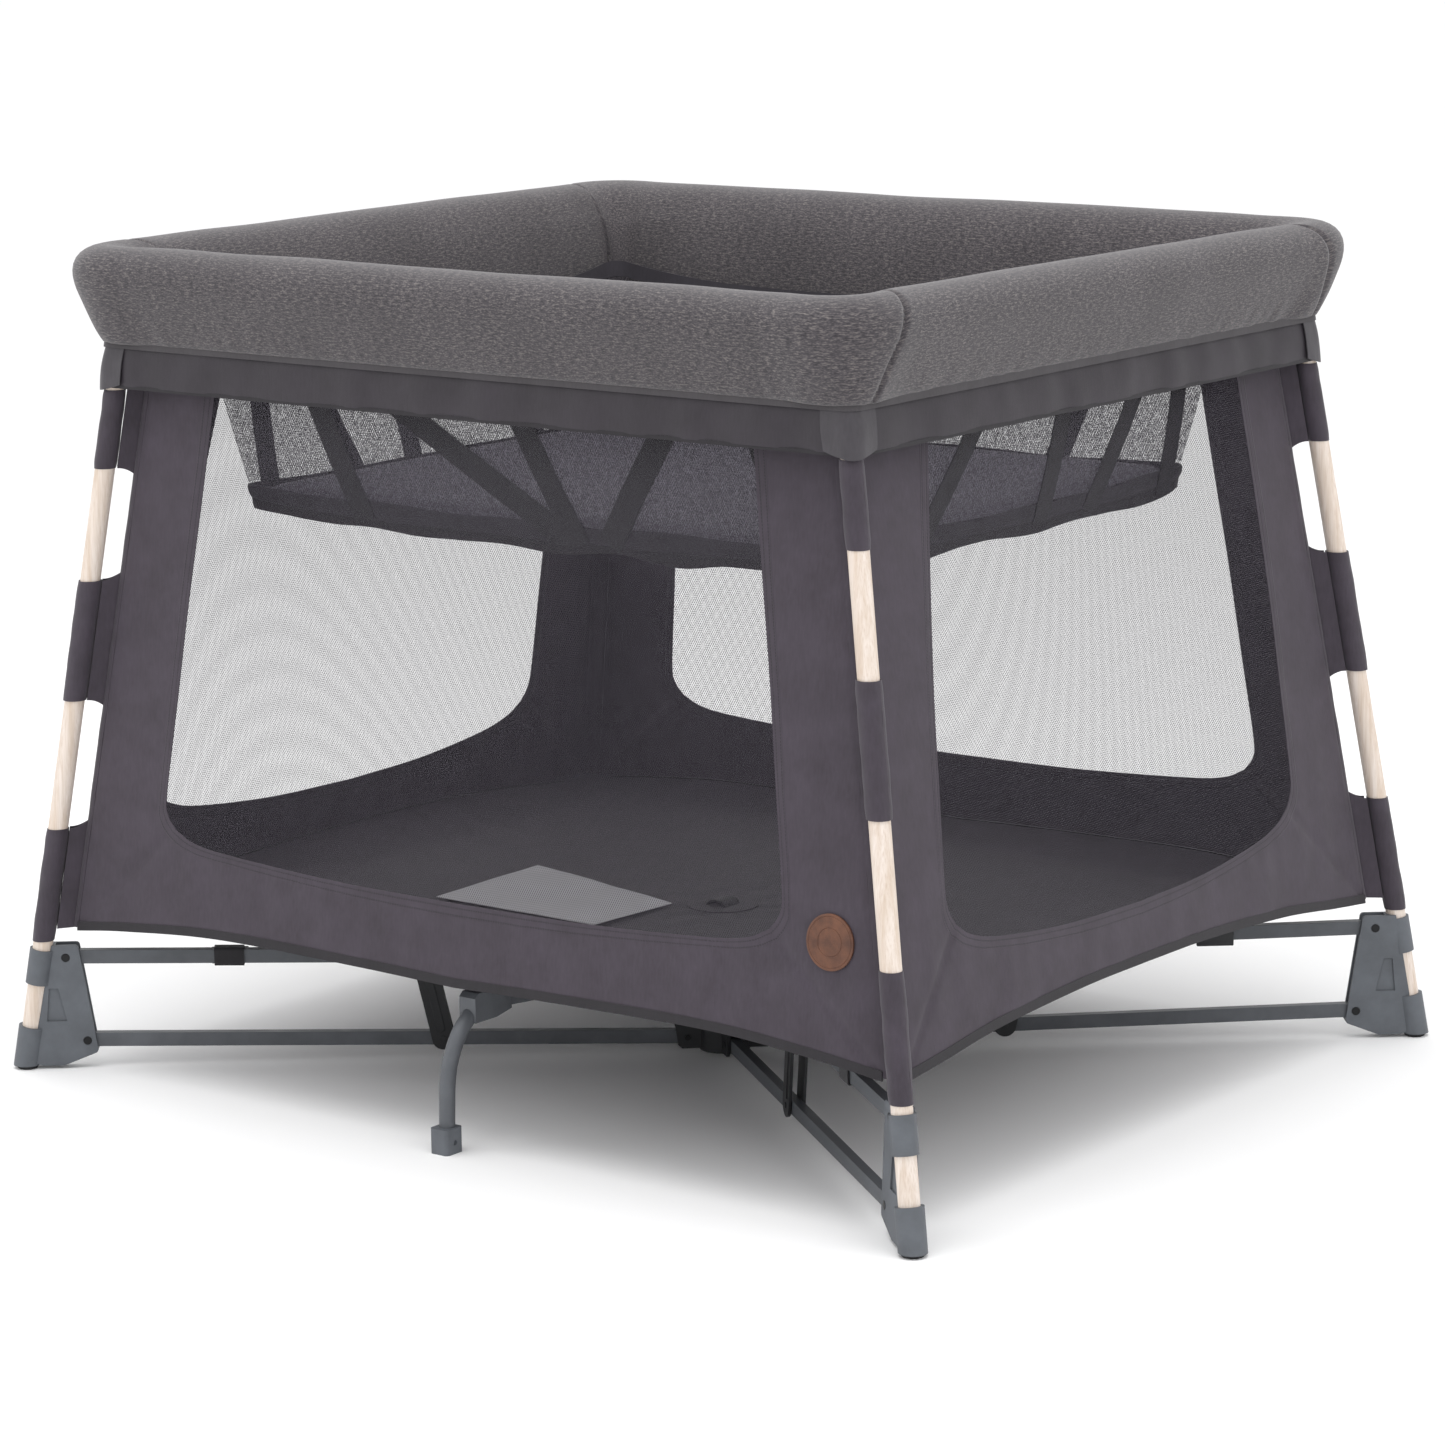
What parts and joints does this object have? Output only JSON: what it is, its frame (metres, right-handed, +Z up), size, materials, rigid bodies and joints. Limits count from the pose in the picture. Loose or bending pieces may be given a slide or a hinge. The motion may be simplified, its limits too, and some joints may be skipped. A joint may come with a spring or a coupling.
{
  "type": "travel play yard",
  "caption": "Collapsible play yard with leaning legs, a folding star frame under it, folding top rails, a fabric shell with mesh windows and a lift-out bassinet insert.",
  "frame": {"origin": "on the floor, below the middle of the frame", "axes": "+X along the long side, +Y along the short side towards the back, +Z up"},
  "size_m": [1.1262, 0.9296, 0.8375],
  "materials": {
    "wood_wrap": "satin",
    "grey_plastic": "satin",
    "black_plastic": "matte",
    "bolt_steel": "satin",
    "pad_rubber": "matte",
    "bar_metal": "satin",
    "rail_metal": "satin",
    "shell_fabric": "matte",
    "floor_fabric": "matte",
    "webbing": "matte",
    "insert_fabric": "matte",
    "mattress_fabric": "matte"
  },
  "bodies": {
    "leg_fr": {"leg_tube_fr": "wood_wrap", "foot_bracket_fr": "grey_plastic", "bracket_bolts_fr": "bolt_steel", "foot_pad_fr": "pad_rubber", "corner_joint_fr": "black_plastic", "fabric_corner_fr": "shell_fabric"},
    "lower_arm_fr": {"lower_bar_fr": "bar_metal"},
    "upper_arm_fr": {"upper_bar_fr": "bar_metal", "floor_quarter_fr": "floor_fabric"},
    "link_fr": {"arm_link_fr": "black_plastic"},
    "leg_fl": {"leg_tube_fl": "wood_wrap", "foot_bracket_fl": "grey_plastic", "bracket_bolts_fl": "bolt_steel", "foot_pad_fl": "pad_rubber", "corner_joint_fl": "black_plastic", "fabric_corner_fl": "shell_fabric"},
    "lower_arm_fl": {"lower_bar_fl": "bar_metal"},
    "upper_arm_fl": {"upper_bar_fl": "bar_metal", "floor_quarter_fl": "floor_fabric"},
    "link_fl": {"arm_link_fl": "black_plastic"},
    "leg_br": {"leg_tube_br": "wood_wrap", "foot_bracket_br": "grey_plastic", "bracket_bolts_br": "bolt_steel", "foot_pad_br": "pad_rubber", "corner_joint_br": "black_plastic", "fabric_corner_br": "shell_fabric"},
    "lower_arm_br": {"lower_bar_br": "bar_metal"},
    "upper_arm_br": {"upper_bar_br": "bar_metal", "floor_quarter_br": "floor_fabric"},
    "link_br": {"arm_link_br": "black_plastic"},
    "leg_bl": {"leg_tube_bl": "wood_wrap", "foot_bracket_bl": "grey_plastic", "bracket_bolts_bl": "bolt_steel", "foot_pad_bl": "pad_rubber", "corner_joint_bl": "black_plastic", "fabric_corner_bl": "shell_fabric"},
    "lower_arm_bl": {"lower_bar_bl": "bar_metal"},
    "upper_arm_bl": {"upper_bar_bl": "bar_metal", "floor_quarter_bl": "floor_fabric"},
    "link_bl": {"arm_link_bl": "black_plastic"},
    "hub": {"hub_base": "black_plastic", "hub_pins": "bolt_steel", "hub_cap": "black_plastic", "pull_strap": "webbing"},
    "top_rail_front_left": {"rail_front_left": "rail_metal"},
    "top_rail_front_right": {"rail_front_right": "rail_metal"},
    "top_rail_back_left": {"rail_back_left": "rail_metal"},
    "top_rail_back_right": {"rail_back_right": "rail_metal"},
    "top_rail_left_front": {"rail_left_front": "rail_metal"},
    "top_rail_left_back": {"rail_left_back": "rail_metal"},
    "top_rail_right_front": {"rail_right_front": "rail_metal"},
    "top_rail_right_back": {"rail_right_back": "rail_metal"},
    "support_front": {"support_arm_front": "bar_metal", "support_leg_front": "bar_metal", "support_foot_front": "grey_plastic"},
    "support_back": {"support_arm_back": "bar_metal", "support_leg_back": "bar_metal", "support_foot_back": "grey_plastic"},
    "insert": {"insert_shell": "insert_fabric", "insert_mattress": "mattress_fabric"}
  },
  "joints": [
    {"name": "fold", "type": "hinge", "parent": "leg_fr", "child": "lower_arm_fr", "pos_m": [0.50081, -0.41121, 0.029], "axis": [0.6346, 0.7729, 0], "range_deg": [0, 66], "deforming": ["fabric_corner_fr", "fabric_corner_fl", "fabric_corner_br", "fabric_corner_bl", "floor_quarter_fr", "floor_quarter_fl", "floor_quarter_br", "floor_quarter_bl"]},
    {"name": "hub_level", "type": "hinge", "parent": "lower_arm_fr", "child": "hub", "pos_m": [0.02937, -0.02411, 0.0174], "axis": [0.6346, 0.7729, 0], "range_deg": [-66, 0]},
    {"name": "lower_arm_fl_swing", "type": "hinge", "parent": "hub", "child": "lower_arm_fl", "pos_m": [-0.02937, -0.02411, 0.0174], "axis": [0.6346, -0.7729, 0], "range_deg": [0, 66]},
    {"name": "leg_fl_upright", "type": "hinge", "parent": "lower_arm_fl", "child": "leg_fl", "pos_m": [-0.50081, -0.41121, 0.029], "axis": [0.6346, -0.7729, 0], "range_deg": [-66, 0]},
    {"name": "lower_arm_br_swing", "type": "hinge", "parent": "hub", "child": "lower_arm_br", "pos_m": [0.02937, 0.02411, 0.0174], "axis": [-0.6346, 0.7729, 0], "range_deg": [0, 66]},
    {"name": "leg_br_upright", "type": "hinge", "parent": "lower_arm_br", "child": "leg_br", "pos_m": [0.50081, 0.41121, 0.029], "axis": [-0.6346, 0.7729, 0], "range_deg": [-66, 0]},
    {"name": "lower_arm_bl_swing", "type": "hinge", "parent": "hub", "child": "lower_arm_bl", "pos_m": [-0.02937, 0.02411, 0.0174], "axis": [-0.6346, -0.7729, 0], "range_deg": [0, 66]},
    {"name": "leg_bl_upright", "type": "hinge", "parent": "lower_arm_bl", "child": "leg_bl", "pos_m": [-0.50081, 0.41121, 0.029], "axis": [-0.6346, -0.7729, 0], "range_deg": [-66, 0]},
    {"name": "upper_arm_fr_swing", "type": "hinge", "parent": "leg_fr", "child": "upper_arm_fr", "pos_m": [0.51549, -0.42327, 0.116], "axis": [0.6346, 0.7729, 0], "range_deg": [0, 66]},
    {"name": "link_fr_upright", "type": "hinge", "parent": "lower_arm_fr", "child": "link_fr", "pos_m": [0.22181, -0.18213, 0.02213], "axis": [0.6346, 0.7729, 0], "range_deg": [-66, 0]},
    {"name": "upper_arm_fl_swing", "type": "hinge", "parent": "leg_fl", "child": "upper_arm_fl", "pos_m": [-0.51549, -0.42327, 0.116], "axis": [0.6346, -0.7729, 0], "range_deg": [0, 66]},
    {"name": "link_fl_upright", "type": "hinge", "parent": "lower_arm_fl", "child": "link_fl", "pos_m": [-0.22181, -0.18213, 0.02213], "axis": [0.6346, -0.7729, 0], "range_deg": [-66, 0]},
    {"name": "upper_arm_br_swing", "type": "hinge", "parent": "leg_br", "child": "upper_arm_br", "pos_m": [0.51549, 0.42327, 0.116], "axis": [-0.6346, 0.7729, 0], "range_deg": [0, 66]},
    {"name": "link_br_upright", "type": "hinge", "parent": "lower_arm_br", "child": "link_br", "pos_m": [0.22181, 0.18213, 0.02213], "axis": [-0.6346, 0.7729, 0], "range_deg": [-66, 0]},
    {"name": "upper_arm_bl_swing", "type": "hinge", "parent": "leg_bl", "child": "upper_arm_bl", "pos_m": [-0.51549, 0.42327, 0.116], "axis": [-0.6346, -0.7729, 0], "range_deg": [0, 66]},
    {"name": "link_bl_upright", "type": "hinge", "parent": "lower_arm_bl", "child": "link_bl", "pos_m": [-0.22181, 0.18213, 0.02213], "axis": [-0.6346, -0.7729, 0], "range_deg": [-66, 0]},
    {"name": "top_rail_front_left_drop", "type": "hinge", "parent": "leg_fl", "child": "top_rail_front_left", "pos_m": [-0.40537, -0.38398, 0.785], "axis": [0, 1, 0], "range_deg": [0, 72.4]},
    {"name": "top_rail_front_right_drop", "type": "hinge", "parent": "leg_fr", "child": "top_rail_front_right", "pos_m": [0.40537, -0.38398, 0.785], "axis": [0, -1, 0], "range_deg": [0, 72.4]},
    {"name": "top_rail_back_left_drop", "type": "hinge", "parent": "leg_bl", "child": "top_rail_back_left", "pos_m": [-0.40537, 0.38398, 0.785], "axis": [0, 1, 0], "range_deg": [0, 72.4]},
    {"name": "top_rail_back_right_drop", "type": "hinge", "parent": "leg_br", "child": "top_rail_back_right", "pos_m": [0.40537, 0.38398, 0.785], "axis": [0, -1, 0], "range_deg": [0, 72.4]},
    {"name": "top_rail_left_front_drop", "type": "hinge", "parent": "leg_fl", "child": "top_rail_left_front", "pos_m": [-0.43337, -0.35598, 0.785], "axis": [-1, 0, 0], "range_deg": [0, 69.5]},
    {"name": "top_rail_left_back_drop", "type": "hinge", "parent": "leg_bl", "child": "top_rail_left_back", "pos_m": [-0.43337, 0.35598, 0.785], "axis": [1, 0, 0], "range_deg": [0, 69.5]},
    {"name": "top_rail_right_front_drop", "type": "hinge", "parent": "leg_fr", "child": "top_rail_right_front", "pos_m": [0.43337, -0.35598, 0.785], "axis": [-1, 0, 0], "range_deg": [0, 69.5]},
    {"name": "top_rail_right_back_drop", "type": "hinge", "parent": "leg_br", "child": "top_rail_right_back", "pos_m": [0.43337, 0.35598, 0.785], "axis": [1, 0, 0], "range_deg": [0, 69.5]},
    {"name": "support_front_swing", "type": "hinge", "parent": "hub", "child": "support_front", "pos_m": [0, -0.042, 0.104], "axis": [1, 0, 0], "range_deg": [0, 77.3]},
    {"name": "support_back_swing", "type": "hinge", "parent": "hub", "child": "support_back", "pos_m": [0, 0.042, 0.104], "axis": [-1, 0, 0], "range_deg": [0, 77.3]},
    {"name": "insert_lift", "type": "slide", "parent": "hub", "child": "insert", "axis": [0, 0, 1], "range_m": [0, 0.45]}
  ],
  "couplings": [
    {"joint": "hub_level", "follows": "fold", "ratio": -1},
    {"joint": "lower_arm_fl_swing", "follows": "fold", "ratio": 1},
    {"joint": "leg_fl_upright", "follows": "fold", "ratio": -1},
    {"joint": "lower_arm_br_swing", "follows": "fold", "ratio": 1},
    {"joint": "leg_br_upright", "follows": "fold", "ratio": -1},
    {"joint": "lower_arm_bl_swing", "follows": "fold", "ratio": 1},
    {"joint": "leg_bl_upright", "follows": "fold", "ratio": -1},
    {"joint": "upper_arm_fr_swing", "follows": "fold", "ratio": 1},
    {"joint": "link_fr_upright", "follows": "fold", "ratio": -1},
    {"joint": "upper_arm_fl_swing", "follows": "fold", "ratio": 1},
    {"joint": "link_fl_upright", "follows": "fold", "ratio": -1},
    {"joint": "upper_arm_br_swing", "follows": "fold", "ratio": 1},
    {"joint": "link_br_upright", "follows": "fold", "ratio": -1},
    {"joint": "upper_arm_bl_swing", "follows": "fold", "ratio": 1},
    {"joint": "link_bl_upright", "follows": "fold", "ratio": -1},
    {"joint": "top_rail_front_left_drop", "follows": "fold", "ratio": 1.0954},
    {"joint": "top_rail_front_right_drop", "follows": "fold", "ratio": 1.0954},
    {"joint": "top_rail_back_left_drop", "follows": "fold", "ratio": 1.0954},
    {"joint": "top_rail_back_right_drop", "follows": "fold", "ratio": 1.0954},
    {"joint": "top_rail_left_front_drop", "follows": "fold", "ratio": 1.0515},
    {"joint": "top_rail_left_back_drop", "follows": "fold", "ratio": 1.0515},
    {"joint": "top_rail_right_front_drop", "follows": "fold", "ratio": 1.0515},
    {"joint": "top_rail_right_back_drop", "follows": "fold", "ratio": 1.0515},
    {"joint": "support_front_swing", "follows": "fold", "ratio": 1.17},
    {"joint": "support_back_swing", "follows": "fold", "ratio": 1.17}
  ]
}
